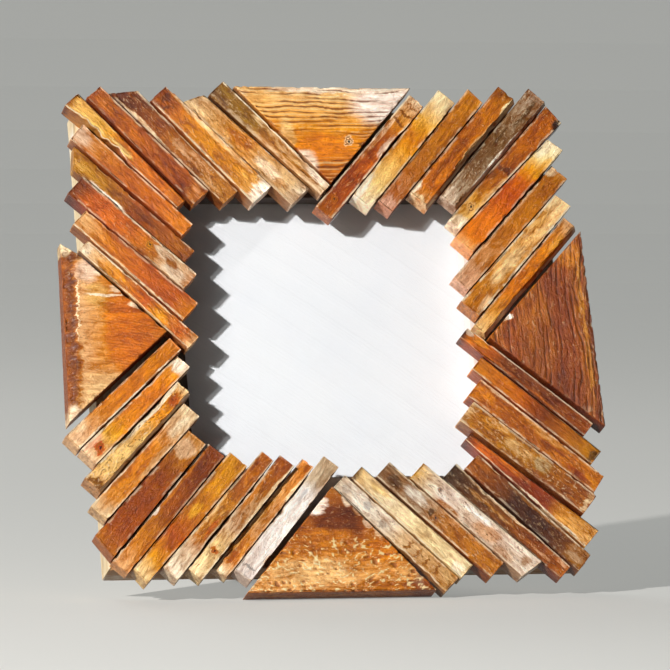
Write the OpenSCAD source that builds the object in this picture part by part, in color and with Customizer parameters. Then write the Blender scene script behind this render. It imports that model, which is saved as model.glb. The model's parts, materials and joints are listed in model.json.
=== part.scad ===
// Square picture frame faced with a mosaic of reclaimed offcuts, standing on an easel leg.
// The frame is drawn lying on its back: X across the picture, Y up the picture, Z towards the viewer.
// It is then tipped up until it leans back on its leg. The origin is on the table, under the middle.

/* [Base frame] */
// Outer side of the square base frame
base_side = 187; // [182:1:192]
// Side of the opening through the base frame
opening_side = 114; // [110:1:118]
// Thickness of the base frame, front to back
base_t = 13.5; // [12:0.5:18]
// Width of the ledge that the glass lies on
ledge = 7; // [5:0.5:9]

/* [Mosaic] */
// Side of the square that the outer tips of the slats reach
mosaic_side = 200; // [196:1:206]
// Side of the square that the inner tips of the slats leave open
mosaic_opening = 104; // [100:1:106]
// Usual thickness of a slat
slat_t = 8.5; // [7:0.5:12]
// Gap between neighbouring slats
slat_gap = 0.4; // [0.2:0.1:1]
// Half of the usual width of the triangle in the middle of each side
triangle_half = 36; // [33:1:38]
// Width of the bark edge that slopes back from the left triangle's front face
bark_w = 6; // [4:0.5:8]
// Depth that the bark edge slopes back
bark_d = 3.5; // [2:0.5:6]

/* [Picture stack] */
// Thickness of the glass
glass_t = 2; // [1.5:0.5:3]
// Thickness of the picture card
card_t = 1.2; // [0.5:0.1:2]
// Thickness of the back board
board_t = 3; // [2:0.5:4]
// Gap all round between the stack and its rebate
stack_gap = 0.3; // [0.2:0.1:0.6]

/* [Stand] */
// Angle that the frame leans back from upright
lean = 22; // [18:1:25]
// Angle between the frame and the open leg
leg_open = 34; // [31:1:38]
// Height of the leg's hinge above the middle of the picture
hinge_up = 34; // [26:1:40]
// Thickness of the leg
leg_t = 4.5; // [4:0.5:6]
// Width of the leg at its hinge
leg_top_w = 38; // [36:1:44]
// Width of the leg at its foot
leg_foot_w = 58; // [48:1:66]

/* [Hinge] */
// Length of the hinge's barrel
barrel_l = 32; // [28:1:34]
// Outer radius of the hinge's barrel
barrel_r = 2.6; // [2.4:0.1:3]
// Radius of the hinge pin
pin_r = 1.25; // [1:0.05:1.4]
// Radial clearance of the knuckle that turns on the pin
pin_gap = 0.06; // [0.04:0.01:0.08]
// Thickness of both hinge leaves
leaf_t = 1.2; // [1:0.1:1.5]
// Length of both hinge leaves below the pin
leaf_l = 20; // [17:1:24]
// Clearance between parts that pass each other
run_gap = 0.3; // [0.25:0.05:0.4]

/* [Turn buttons] */
// Length of a turn button between the centres of its two round ends
button_l = 12; // [11:0.5:14]
// Radius of the end that turns on the screw
button_big_r = 5; // [4.5:0.5:6]
// Radius of the end that holds the back board
button_small_r = 3.5; // [3:0.5:4]
// Thickness of a turn button
button_t = 1.5; // [1.2:0.1:2]
// Distance of a button's screw outside the rebate
button_out = 6; // [5.5:0.5:7]
// Radius of the screw's shank
screw_r = 1.5; // [1.3:0.1:1.6]
// Length of the screw's shank in the rail
screw_l = 9; // [7:0.5:10]
// Radius of the screw's round head
head_r = 3; // [2.8:0.1:3.4]

/* [Hidden] */
amber = "#d98a3e";
honey = "#e3a857";
rust = "#a8501f";
umber = "#5d3a22";
tan = "#c99a66";
cream = "#efd9a2";
chalk = "#ece4da";
ash = "#8a745f";
brass = "#c9a24a";
round_steps = 48;

// Each slat, clockwise round its corner: share of the width at its outer end and at its inner end, how far
// its outer tip passes the mosaic's side, how far its inner tip passes the mosaic's opening, thickness over
// the usual one, slant of its outer end, width of the worn bevel (negative on its first edge), and colour.
TOP_LEFT = [
    [5.5, 6.5, -3, -1, -1, 0, 0, rust],
    [7.5, 9, -1, -1, 0, 0, 0, amber],
    [10, 9.5, 0.5, 0, 0.5, 0, 0, amber],
    [8, 8, -1, 0.5, -2, 38, 0, umber],
    [8.5, 7.5, -2.5, 0.5, 0, 5, 0, amber],
    [8.5, 6.5, -1.5, -1.5, 0.5, 0, 1.5, honey],
    [7.8, 9, 0.5, 0.5, 0, 2, 0, rust],
    [9.7, 9, 1.6, 0, -0.5, 36, 0, umber],
    [9, 10.5, 1, -0.5, 0.5, 0, 0, amber],
    [9, 11, -0.5, 0, -0.5, 22, 1.5, tan],
    [9.4, 7.5, 4, -3, 0, 2, -1, ash]
];
TOP_RIGHT = [
    [7.5, 8, -1, 4.5, -0.5, 0, 0, rust],
    [9, 9, 0.5, 1, 0.5, 0, 0, cream],
    [9, 8, 0.5, 3, 0, -5, 0, tan],
    [10, 10, 1.5, 1.5, 0, 0, 1.5, amber],
    [10, 9, 0.5, 0, -0.5, 0, 1, ash],
    [9.5, 7, 0.5, 2, 0.5, 8, 0, rust],
    [8, 9.5, -1, 0, 1, -6, 0, cream],
    [9, 8.5, 0, 2.5, 0, 0, 0, tan],
    [8, 9, -0.5, 0.5, 0.5, -4, 0, honey],
    [8, 7.5, 1.5, -3, 0, 0, 1.5, amber]
];
BOTTOM_RIGHT = [
    [7, 6.5, 2, 0, -1, 0, 0, rust],
    [8, 8, 3.5, -2.5, 0.5, 0, -1, amber],
    [8, 9, 3, 0, 0, 6, 0, amber],
    [9.5, 10, -1, 4.5, 0.5, 0, 0, tan],
    [10, 6, -1.5, 4, 0, 0, -1.5, rust],
    [8.5, 8.5, -1.5, 0, -1, -5, 0, umber],
    [7, 9, 1.5, -2.5, -1.5, 0, 0, ash],
    [10, 9, 1.5, -2.5, 0.5, 12, 0, chalk],
    [8.5, 8.5, 1, -2, 0, 0, 0, ash],
    [8.5, 8, 1.5, -3.5, 0.5, 0, -1, cream],
    [8.3, 7.8, 7, -7.5, 0, 0, 0, chalk]
];
BOTTOM_LEFT = [
    [8, 8, 3, -1.5, 0.5, 0, 0, chalk],
    [7, 6.5, 0.5, -1, -2, 0, 0, tan],
    [7, 7.5, 1, 0, 0, 0, 0, tan],
    [8, 7, 0.5, 2, 0.5, -4, 0, ash],
    [8, 9, 1, 2, 0, -10, 0, amber],
    [8, 8.5, -3, 3, -1, 0, 0, rust],
    [11, 9.5, 0, -1.5, 0, 12, 0, umber],
    [8.5, 8.5, 0, -3, -0.5, 0, 0, tan],
    [9, 8, 2, -6, 1.5, 0, -1, cream],
    [9, 8, 3, -5.5, 0, 0, 0, amber],
    [8, 7.5, 8.7, -9, 0.5, 0, 0, honey]
];
SLATS = [TOP_LEFT, TOP_RIGHT, BOTTOM_RIGHT, BOTTOM_LEFT];
CORNERS = ["top_left", "top_right", "bottom_right", "bottom_left"];

// Each triangle, clockwise from the top: left and right half width over the usual one, how far its left and
// right corners pass the mosaic's side, sideways shift of its apex, distance of its apex outside the mosaic's
// opening, thickness over the usual one, and colour.
TRIANGLES = [
    [-5, 4, 0.5, 0, 4.5, 8, 0.5, honey],
    [4, 5, 3, 4.5, 4, 9.5, 1, umber],
    [-5, 7, 6, 6, 6.3, 12, 1, rust],
    [1.5, 0, 6, 4, -1.3, 13.7, 1.5, amber]
];
SIDES = ["top", "right", "bottom", "left"];

// Dark gaps beside the triangles: at each corner, after the earlier triangle at the outer and inner ends,
// then before the later triangle at the outer and inner ends.
SIDE_GAPS = [[3, 2, 1.5, 1], [1.2, 1, 1.5, 1], [1, 1, 3, 1.5], [1, 1.7, 2.4, 2.3]];

// Gap between the inner end of a corner's last slat and the first slat of the next corner, which runs past it.
pass_gap = 1;

// Lines across the slats, square to the corner's diagonal, where the shares of the width are laid out.
outer_line = mosaic_side / sqrt(2) - 16.5;
inner_line = mosaic_opening / sqrt(2) + 6.5;

rebate_side = opening_side + 2 * ledge;
rebate_d = glass_t + card_t + board_t;
stack_side = rebate_side - 2 * stack_gap;
mosaic_z = base_t;

// The hinge pin's axis: its distance behind the base frame, and its height above the table.
pin_back = barrel_r + run_gap;
foot_down = mosaic_side / 2 + TRIANGLES[2][2];
leg_lean = leg_open - lean;
pin_height = (hinge_up + foot_down) * cos(lean) - (pin_back + base_t) * sin(lean);
leg_front = barrel_r + run_gap;
knuckle_l = barrel_l / 2;
end_knuckle_l = (barrel_l - knuckle_l) / 2 - run_gap;
leaf_w = knuckle_l;
rivet_r = 2.2;
rivet_h = 0.9;
rivet_in = 5.5;
head_h = 1.7;
slot_w = 0.8;
slot_d = 0.7;
button_x = rebate_side / 2 + button_out;
button_gap = run_gap;
head_gap = 0.15;
bore_gap = 0.07;
pilot_gap = 0.05;

// A point of the flat picture plane, seen along and across the diagonal of the top left corner.
function across(p) = (p[0] + p[1]) / sqrt(2);
function outward(p) = (p[1] - p[0]) / sqrt(2);
function flipped(p) = [-p[0], p[1]];
function line_at(a, b, s) = across(a) + (across(b) - across(a)) * (s - outward(a)) / (outward(b) - outward(a));
function between(a, b, s) = b + (a - b) * (s - inner_line) / (outer_line - inner_line);

function left_corner(k) = [-triangle_half - TRIANGLES[k][0], mosaic_side / 2 + TRIANGLES[k][2]];
function right_corner(k) = [triangle_half + TRIANGLES[k][1], mosaic_side / 2 + TRIANGLES[k][3]];
function apex(k) = [TRIANGLES[k][4], mosaic_opening / 2 + TRIANGLES[k][5]];

// The strip that one corner's slats fill, between the triangle before it and the triangle after it.
function before(q) = (q + 3) % 4;
function start_edge(q, s) = -line_at(flipped(apex(before(q))), flipped(right_corner(before(q))), s)
    + between(SIDE_GAPS[q][0], SIDE_GAPS[q][1], s);
function end_edge(q, s) = line_at(apex(q), left_corner(q), s) - between(SIDE_GAPS[q][2], SIDE_GAPS[q][3], s);
function share(rows, n, c) = n == 0 ? 0 : rows[n - 1][c] + share(rows, n - 1, c);
function part_of(q, n, c) = share(SLATS[q], n, c) / share(SLATS[q], len(SLATS[q]), c);
function joint_at(q, n, s, c) = start_edge(q, s) + (end_edge(q, s) - start_edge(q, s)) * part_of(q, n, c);
function joint_line(q, n, s) = between(joint_at(q, n, outer_line, 0), joint_at(q, n, inner_line, 1), s);

// One slat: its two long edges, its tilt from the diagonal, and where its two ends are cut.
function first_edge(q, i, s) = joint_line(q, i, s) + slat_gap / 2;
function second_edge(q, i, s) = joint_line(q, i + 1, s) - slat_gap / 2;
function middle(q, i, s) = (first_edge(q, i, s) + second_edge(q, i, s)) / 2;
function tilt(q, i) = (middle(q, i, outer_line) - middle(q, i, inner_line)) / (outer_line - inner_line);
function far_side(q, i) = max(abs(first_edge(q, i, outer_line)), abs(second_edge(q, i, outer_line)));
function near_side(q, i) = first_edge(q, i, inner_line) * second_edge(q, i, inner_line) < 0 ? 0
    : min(abs(first_edge(q, i, inner_line)), abs(second_edge(q, i, inner_line)));
function outer_cut(q, i) = sqrt(2) * (mosaic_side / 2 + SLATS[q][i][2]) - far_side(q, i);
function own_inner_cut(q, i) = sqrt(2) * (mosaic_opening / 2 - SLATS[q][i][3]) - near_side(q, i);
function stop_line(q, i) = pass_gap - first_edge((q + 1) % 4, 0, middle(q, i, inner_line));
function inner_cut(q, i) = i < len(SLATS[q]) - 1 ? own_inner_cut(q, i)
    : max(own_inner_cut(q, i), stop_line(q, i));
function slant(q, i) = -tilt(q, i) - sign(middle(q, i, outer_line)) * tan(SLATS[q][i][5]);
function outer_end(q, i, y) = outer_cut(q, i) + slant(q, i) * (y - middle(q, i, outer_cut(q, i)));
function inner_end(q, i, y) = inner_cut(q, i) - tilt(q, i) * (y - middle(q, i, inner_cut(q, i)));
function on_first(q, i, s) = [first_edge(q, i, s), s];
function on_second(q, i, s) = [second_edge(q, i, s), s];
function slat_outline(q, i) = let (
        o = outer_cut(q, i),
        n = inner_cut(q, i)
    ) [
        on_first(q, i, inner_end(q, i, first_edge(q, i, n))),
        on_second(q, i, inner_end(q, i, second_edge(q, i, n))),
        on_second(q, i, outer_end(q, i, second_edge(q, i, o))),
        on_first(q, i, outer_end(q, i, first_edge(q, i, o)))
    ];
function slat_height(q, i) = slat_t + SLATS[q][i][4];
function slat_name(q, i) = str(CORNERS[q], "_slat_", i + 1);
function triangle_height(k) = slat_t + TRIANGLES[k][6];
function triangle_name(k) = str(SIDES[k], "_triangle");
function rail_name(k) = str(SIDES[k], "_rail");

// The whole object's reach to either side and to the front and back, from which the origin is centred.
function turned(p, a) = [p[0] * cos(a) - p[1] * sin(a), p[0] * sin(a) + p[1] * cos(a)];
slat_corners = [for (q = [0:3]) for (i = [0:len(SLATS[q]) - 1]) for (p = slat_outline(q, i))
    concat(turned(p, 45 - 90 * q), [mosaic_z, mosaic_z + slat_height(q, i)])];
triangle_corners = [for (k = [0:3]) for (p = [left_corner(k), right_corner(k), apex(k)])
    concat(turned(p, -90 * k), [mosaic_z, mosaic_z + triangle_height(k)])];
all_corners = concat(slat_corners, triangle_corners);
left_reach = min([for (p = all_corners) p[0]]);
right_reach = max([for (p = all_corners) p[0]]);
front_reach = min([for (p = all_corners) p[1] * sin(lean) - p[3] * cos(lean)]);
pin_y = hinge_up * sin(lean) + pin_back * cos(lean);
foot_behind = leg_front + leg_t;
foot_l = (pin_height + foot_behind * sin(leg_lean)) / cos(leg_lean);
back_reach = pin_y + foot_l * sin(leg_lean) + foot_behind * cos(leg_lean);
table_z = -foot_down * cos(lean) + base_t * sin(lean);

// Tips the flat frame up on the table and centres the origin under it.
module stand() {
    translate([-(left_reach + right_reach) / 2, -(front_reach + back_reach) / 2, -table_z])
        rotate([90 - lean, 0, 0]) children();
}

// Sets a part that is drawn round the hinge pin on the pin, with the leg's side swung open.
module on_pin(swing) {
    stand() translate([0, hinge_up, -pin_back]) rotate([swing, 0, 0]) children();
}

// Takes a worn bevel off the top of the edge that runs from a to b, on its left side.
module bevel_cut(a, b, w, d) {
    run = b - a;
    translate([a[0], a[1], 0]) rotate([0, 0, atan2(run[1], run[0])]) rotate([90, 0, 90])
        translate([0, 0, -5]) linear_extrude(norm(run) + 10) polygon([[-1, -d - d / w], [w + w / d, 1], [-1, 1]]);
}

module slat(q, i) {
    h = slat_height(q, i);
    bevel = SLATS[q][i][6];
    corner = slat_outline(q, i);
    color(SLATS[q][i][7]) stand() rotate([0, 0, 45 - 90 * q]) translate([0, 0, mosaic_z]) difference() {
        linear_extrude(h) polygon(corner);
        if (bevel > 0) translate([0, 0, h]) bevel_cut(corner[1], corner[2], bevel, 2 * bevel);
        if (bevel < 0) translate([0, 0, h]) bevel_cut(corner[3], corner[0], -bevel, -2 * bevel);
    }
}

// The left triangle keeps its bark: its front face slopes back to its outer side, and less so at its foot.
module triangle(k) {
    h = triangle_height(k);
    color(TRIANGLES[k][7]) stand() rotate([0, 0, -90 * k]) translate([0, 0, mosaic_z]) difference() {
        linear_extrude(h) polygon([left_corner(k), right_corner(k), apex(k)]);
        if (k == 3) translate([0, 0, h])
            bevel_cut(right_corner(k), left_corner(k) + [0, bark_w / 2], bark_w, bark_d);
    }
}

// One of four mitred rails, rebated behind for the glass, the card and the board.
module rail(k) {
    o = base_side / 2;
    n = opening_side / 2;
    color(cream) stand() rotate([0, 0, -90 * k]) difference() {
        linear_extrude(base_t) polygon([[-o, o], [o, o], [n, n], [-n, n]]);
        translate([-rebate_side / 2, -rebate_side / 2, -1]) cube([rebate_side, rebate_side, rebate_d + 1]);
        if (k % 2 == 1) rotate([0, 0, 90 * k]) translate([(2 - k) * button_x, 0, -1])
            cylinder(r = screw_r + pilot_gap, h = screw_l + 1, $fn = round_steps);
    }
}

module stack_sheet(back, t) {
    stand() translate([-stack_side / 2, -stack_side / 2, back]) cube([stack_side, stack_side, t]);
}

module glass_pane() {
    color("#cfe3e8") stack_sheet(board_t + card_t, glass_t);
}

module photo_card() {
    color("white") stack_sheet(board_t, card_t);
}

module back_board() {
    color("#6e5138") stack_sheet(0, board_t);
}

// A barrel piece between two places along the pin.
module knuckle(from, to, bore) {
    translate([from, 0, 0]) rotate([0, 90, 0]) difference() {
        cylinder(r = barrel_r, h = to - from, $fn = round_steps);
        if (bore > 0) translate([0, 0, -1]) cylinder(r = bore, h = to - from + 2, $fn = round_steps);
    }
}

// A low domed rivet head on a leaf, pointing towards the viewer.
module rivet(x, y) {
    dome_r = (rivet_r * rivet_r + rivet_h * rivet_h) / (2 * rivet_h);
    translate([x, y, 0]) intersection() {
        translate([0, 0, rivet_h - dome_r]) sphere(r = dome_r, $fn = round_steps);
        cylinder(r = rivet_r, h = rivet_h, $fn = round_steps);
    }
}

// The fixed half of the hinge: a leaf riveted to the back board, two knuckles and the pin they hold.
module hinge_plate() {
    inner = barrel_l / 2 - end_knuckle_l;
    color(brass) on_pin(0) {
        knuckle(-barrel_l / 2, -inner, 0);
        knuckle(inner, barrel_l / 2, 0);
        rotate([0, 90, 0]) cylinder(r = pin_r, h = barrel_l, center = true, $fn = round_steps);
        difference() {
            translate([-barrel_l / 2, -leaf_l, pin_back - leaf_t]) cube([barrel_l, leaf_l, leaf_t]);
            translate([-inner, -barrel_r - run_gap, 0]) cube([2 * inner, 2 * barrel_r, 2 * pin_back]);
        }
        for (x = [-1, 1]) translate([0, 0, pin_back - leaf_t]) rotate([0, 180, 0])
            rivet(x * (barrel_l / 2 - rivet_in), rivet_in - leaf_l);
    }
}

// The moving half of the hinge: a leaf riveted to the leg, and the middle knuckle.
module hinge_leaf() {
    color(brass) on_pin(leg_open) {
        difference() {
            union() {
                knuckle(-knuckle_l / 2, knuckle_l / 2, 0);
                translate([-leaf_w / 2, -leaf_l, -leg_front]) cube([leaf_w, leaf_l, leaf_t]);
                translate([-leaf_w / 2, -barrel_r, -leg_front]) cube([leaf_w, barrel_r, leaf_t + run_gap]);
            }
            rotate([0, 90, 0]) cylinder(r = pin_r + pin_gap, h = barrel_l, center = true, $fn = round_steps);
        }
        for (y = [rivet_in, leaf_l - rivet_in + 2]) translate([0, 0, leaf_t - leg_front]) rivet(0, -y);
    }
}

// The wooden leg: tapered in front view, its top bevelled to stop against the board when it is open, and its
// foot cut to stand flat on the table.
module easel_leg() {
    stop_y = (pin_back - run_gap + leg_front * cos(leg_open)) / sin(leg_open);
    stop_back_y = stop_y + leg_t / tan(leg_open);
    foot_front_l = (pin_height + leg_front * sin(leg_lean)) / cos(leg_lean);
    side_view = [
        [stop_y, -leg_front],
        [stop_back_y, -leg_front - leg_t],
        [-foot_l, -leg_front - leg_t],
        [-foot_front_l, -leg_front]
    ];
    top = leg_top_w / 2;
    foot = leg_foot_w / 2;
    front_view = [[-top, stop_back_y], [top, stop_back_y], [top, 0], [foot, -foot_l], [-foot, -foot_l], [-top, 0]];
    color("#8f6a47") on_pin(leg_open) intersection() {
        rotate([90, 0, 90]) translate([0, 0, -leg_foot_w]) linear_extrude(2 * leg_foot_w) polygon(side_view);
        translate([0, 0, -leg_front - leg_t]) linear_extrude(leg_t) polygon(front_view);
    }
}

// A waisted brass button that turns on its screw and holds the back board in.
module turn_button(side) {
    big = 0.8 * button_big_r;
    small = 0.8 * button_small_r;
    color(brass) stand() translate([side * button_x, 0, -button_gap - button_t])
        rotate([0, 0, side > 0 ? 180 : 0]) linear_extrude(button_t) difference() {
            union() {
                circle(r = button_big_r, $fn = round_steps);
                translate([button_l, 0]) circle(r = button_small_r, $fn = round_steps);
                polygon([[0, -big], [button_l, -small], [button_l, small], [0, big]]);
            }
            circle(r = screw_r + bore_gap, $fn = round_steps);
        }
}

module left_turn_button() {
    turn_button(-1);
}

module right_turn_button() {
    turn_button(1);
}

// A slotted round head on a plain shank, with its point in the rail.
module screw() {
    under_head = button_gap + button_t + head_gap;
    dome_r = (head_r * head_r + head_h * head_h) / (2 * head_h);
    tip_l = 2 * screw_r;
    difference() {
        translate([0, 0, -under_head - head_h]) intersection() {
            translate([0, 0, dome_r]) sphere(r = dome_r, $fn = round_steps);
            cylinder(r = head_r, h = head_h, $fn = round_steps);
        }
        translate([-head_r - 1, -slot_w / 2, -under_head - head_h - 1]) cube([2 * head_r + 2, slot_w, slot_d + 1]);
    }
    translate([0, 0, -under_head]) cylinder(r = screw_r, h = under_head + screw_l - tip_l, $fn = round_steps);
    translate([0, 0, screw_l - tip_l]) cylinder(r1 = screw_r, r2 = 0.3, h = tip_l - 0.2, $fn = round_steps);
}

module turn_button_screws() {
    color(brass) stand() for (side = [-1, 1]) translate([side * button_x, 0, 0]) screw();
}

for (q = [0:3]) for (i = [0:len(SLATS[q]) - 1]) slat(q, i);
for (k = [0:3]) triangle(k);
for (k = [0:3]) rail(k);
glass_pane();
photo_card();
back_board();
hinge_plate();
hinge_leaf();
easel_leg();
left_turn_button();
right_turn_button();
turn_button_screws();
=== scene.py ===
import json
import math

import bmesh
import bpy
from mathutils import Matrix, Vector, noise


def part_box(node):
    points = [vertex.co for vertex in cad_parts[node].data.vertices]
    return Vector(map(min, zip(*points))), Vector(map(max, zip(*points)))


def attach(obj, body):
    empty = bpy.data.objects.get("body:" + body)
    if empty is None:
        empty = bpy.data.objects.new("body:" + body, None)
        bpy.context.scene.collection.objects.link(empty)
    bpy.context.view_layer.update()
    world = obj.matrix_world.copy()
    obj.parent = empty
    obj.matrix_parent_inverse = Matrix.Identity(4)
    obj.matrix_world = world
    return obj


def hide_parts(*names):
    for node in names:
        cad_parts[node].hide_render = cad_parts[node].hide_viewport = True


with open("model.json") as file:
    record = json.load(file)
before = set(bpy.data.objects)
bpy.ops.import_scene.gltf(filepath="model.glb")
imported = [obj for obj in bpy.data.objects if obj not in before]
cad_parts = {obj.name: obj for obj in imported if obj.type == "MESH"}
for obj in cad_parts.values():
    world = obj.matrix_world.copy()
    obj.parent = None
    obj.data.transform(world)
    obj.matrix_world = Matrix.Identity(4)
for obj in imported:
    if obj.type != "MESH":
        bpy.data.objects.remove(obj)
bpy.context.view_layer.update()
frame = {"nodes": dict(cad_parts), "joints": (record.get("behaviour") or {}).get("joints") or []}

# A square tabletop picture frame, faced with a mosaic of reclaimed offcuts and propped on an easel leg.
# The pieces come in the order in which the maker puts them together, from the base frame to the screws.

# Base frame.
# Four mitred pine rails, rebated behind for the glass, the card and the board, and bleached by the sun.
# They are glued at the mitres. Their edge shows at the left and below the mosaic.

turning = {joint["name"]: joint for joint in frame["joints"]}
left_screw_at = Vector(turning["left_button_turn"]["pos_m"])
right_screw_at = Vector(turning["right_button_turn"]["pos_m"])
back_middle = (left_screw_at + right_screw_at) / 2
to_viewer = -Vector(turning["left_button_turn"]["axis"]).normalized()
to_right = Vector((1, 0, 0))
to_top = to_viewer.cross(to_right)
mm_per_m = 1000


def laid_flat(point):
    """A point on the frame laid on its back: mm to the right, up the picture and towards the viewer."""
    offset = (point - back_middle) * mm_per_m
    return Vector((offset.dot(to_right), offset.dot(to_top), offset.dot(to_viewer)))


def blank(node):
    """A solid blank of a construction piece, with its flat faces whole."""
    solid = bmesh.new()
    solid.from_mesh(frame["nodes"][node].data)
    bmesh.ops.remove_doubles(solid, verts=solid.verts, dist=2e-6)
    bmesh.ops.dissolve_limit(solid, angle_limit=math.radians(1), verts=solid.verts, edges=solid.edges)
    return solid


def ease_edges(solid, width, steps=2, sharper_than=30):
    """Takes the sharpness off the edges, as sanding and handling do."""
    sharp = [e for e in solid.edges if len(e.link_faces) == 2
             and e.calc_face_angle() > math.radians(sharper_than)]
    bmesh.ops.bevel(solid, geom=sharp, offset=width, offset_type="OFFSET", segments=steps, profile=0.5,
                    affect="EDGES", clamp_overlap=True, material=-1)


def rule_across(solid, direction, step):
    """Scores the faces along planes square to a direction, so that wear has points to move."""
    reach = [v.co.dot(direction) for v in solid.verts]
    low, high = min(reach), max(reach)
    count = max(2, round((high - low) / step))
    for k in range(1, count):
        bmesh.ops.bisect_plane(solid, geom=solid.verts[:] + solid.edges[:] + solid.faces[:], dist=1e-6,
                               plane_co=direction * (low + (high - low) * k / count), plane_no=direction)


def fit(solid, name, finish, body, *nodes):
    """Makes the blank a piece with its finish, in the place of its construction piece."""
    mesh = bpy.data.meshes.new(name)
    solid.to_mesh(mesh)
    solid.free()
    mesh.polygons.foreach_set("use_smooth", [True] * len(mesh.polygons))
    mesh.materials.append(finish)
    piece = bpy.data.objects.new(name, mesh)
    bpy.context.scene.collection.objects.link(piece)
    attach(piece, body)
    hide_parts(*nodes)
    return piece


def even_shading(piece):
    """Keeps a flat face flat to the eye, up to its eased edges."""
    piece.modifiers.new("even_shading", "WEIGHTED_NORMAL").keep_sharp = True


def fit_plain(node, name, finish, body, eased, steps=2, sharper_than=30):
    """Fits a piece whose faces stay as they are, with its edges eased."""
    solid = blank(node)
    ease_edges(solid, eased, steps, sharper_than)
    even_shading(fit(solid, name, finish, body, node))


def stain(code):
    """A colour from its usual six-figure code."""
    parts = [int(code[k:k + 2], 16) / 255 for k in (0, 2, 4)]
    return [p / 12.92 if p <= 0.04045 else ((p + 0.055) / 1.055) ** 2.4 for p in parts] + [1]


def lay(kind, sockets, tree=None, **settings):
    """Adds one step of a finish, which it finds from the earlier steps that feed this one."""
    tree = tree or next(v.id_data for v in sockets.values() if isinstance(v, bpy.types.NodeSocket))
    made = tree.nodes.new("ShaderNode" + kind)
    for option, value in settings.items():
        setattr(made, option, value)
    for socket, value in sockets.items():
        if isinstance(value, bpy.types.NodeSocket):
            tree.links.new(value, made.inputs[socket])
        else:
            made.inputs[socket].default_value = value
    return made


def new_finish(name, **sockets):
    """A finish with the constants of its shader: the finish, its steps and its shader."""
    finish = bpy.data.materials.new(name)
    finish.use_nodes = True
    shader = finish.node_tree.nodes["Principled BSDF"]
    for socket, value in sockets.items():
        shader.inputs[socket.replace("_", " ")].default_value = value
    return finish, finish.node_tree, shader


def written(tree, layer, kind="Fac"):
    """What stands on the piece's own points: a share from 0 to 1 or, as a Vector, a place."""
    return lay("Attribute", {}, tree, attribute_name=layer).outputs[kind]


def reckon(operation, *values, kind="Math"):
    return lay(kind, dict(enumerate(values)), operation=operation).outputs[0]


def tones(factor, stops):
    """A run of colours: the colour code, or its three shares, at each place from 0 to 1."""
    made = lay("ValToRGB", {0: factor})
    run = made.color_ramp.elements
    while len(run) > 1:
        run.remove(run[0])
    for k, (place, code) in enumerate(stops.items()):
        stop = run.new(place) if k else run[0]
        stop.position = place
        stop.color = stain(code) if isinstance(code, str) else (*code, 1)
    return made.outputs[0]


def mixed(amount, under, over, blend="MIX"):
    return lay("Mix", {0: amount, 6: under, 7: over}, data_type="RGBA", blend_type=blend).outputs[2]


def ranged(value, low, high, to_low=0.0, to_high=1.0):
    return lay("MapRange", {0: value, 1: low, 2: high, 3: to_low, 4: to_high},
               interpolation_type="SMOOTHSTEP").outputs[0]


def tinted(colour, code, where, none_at, full_at, strength=1.0):
    """Lays a tint over a colour, from where a figure stands at none_at to where it stands at full_at."""
    return mixed(ranged(where, none_at, full_at, 0, strength), colour, stain(code))


def figure(vector, sizes, seed=0.0, detail=3.0, roughness=0.6, distortion=0.0):
    """Uneven figure whose features have about the sizes given, in the units of the vector."""
    scaled = lay("Mapping", {0: vector, 1: (seed * 3.7, seed * 1.9, seed), 3: [1 / size for size in sizes]})
    return lay("TexNoise", {"Vector": scaled.outputs[0], "Scale": 1.0, "Detail": detail,
                            "Roughness": roughness, "Distortion": distortion}).outputs


def coat(shader, colour, roughness, height, depth, strength):
    """Joins a finish's colour, roughness and relief to its shader. The relief's depth is in metres."""
    relief = lay("Bump", {"Height": height, "Distance": depth, "Strength": strength}).outputs[0]
    for socket, value in (("Normal", relief), ("Base Color", colour), ("Roughness", roughness)):
        if value:
            shader.id_data.links.new(value, shader.inputs[socket])


def mark_fibre(solid, across, along, facing):
    """Writes where each point lies in the wood's own fibre, in mm: across it, along it and facing out."""
    layer = solid.verts.layers.float_vector.new("fibre")
    for v in solid.verts:
        offset = (v.co - back_middle) * mm_per_m
        v[layer] = Vector((offset.dot(across), offset.dot(along), offset.dot(facing)))


def pine_finish(name, seed, light, dark, line, lip):
    """Pine with soft bands and fine lines, bleached and grimy in patches, and the lip of the opening
    in its lip tone, which is painted light on some rails and painted shade on others.
    """
    wood, tree, shader = new_finish(name)
    fibre = written(tree, "fibre", "Vector")
    growth = figure(fibre, (3.2, 60, 4), seed, detail=2, distortion=0.6)[0]
    colour = tones(growth, {0.3: dark, 0.45: light, 0.55: light, 0.7: dark})
    hair = figure(fibre, (0.35, 9, 0.35), seed + 5, detail=4)[0]
    colour = tinted(colour, line, hair, 0.42, 0.3)
    bleached = figure(fibre, (9, 22, 9), seed + 9, detail=5)[0]
    colour = tinted(colour, "FBF3E4", bleached, 0.5, 0.7)
    grime = figure(fibre, (14, 30, 14), seed + 14, detail=4)[0]
    colour = tinted(colour, "B08D62", grime, 0.58, 0.75)
    # The lip band takes the rail's lip tone: painted light on the right and bottom rails, painted shade on
    # the top and left ones.
    colour = mixed(written(tree, "inside"), colour, stain(lip))
    coat(shader, colour, ranged(hair, 0.3, 0.6, 0.75, 0.5), hair, 0.00025, 0.7)
    return wood


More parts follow.
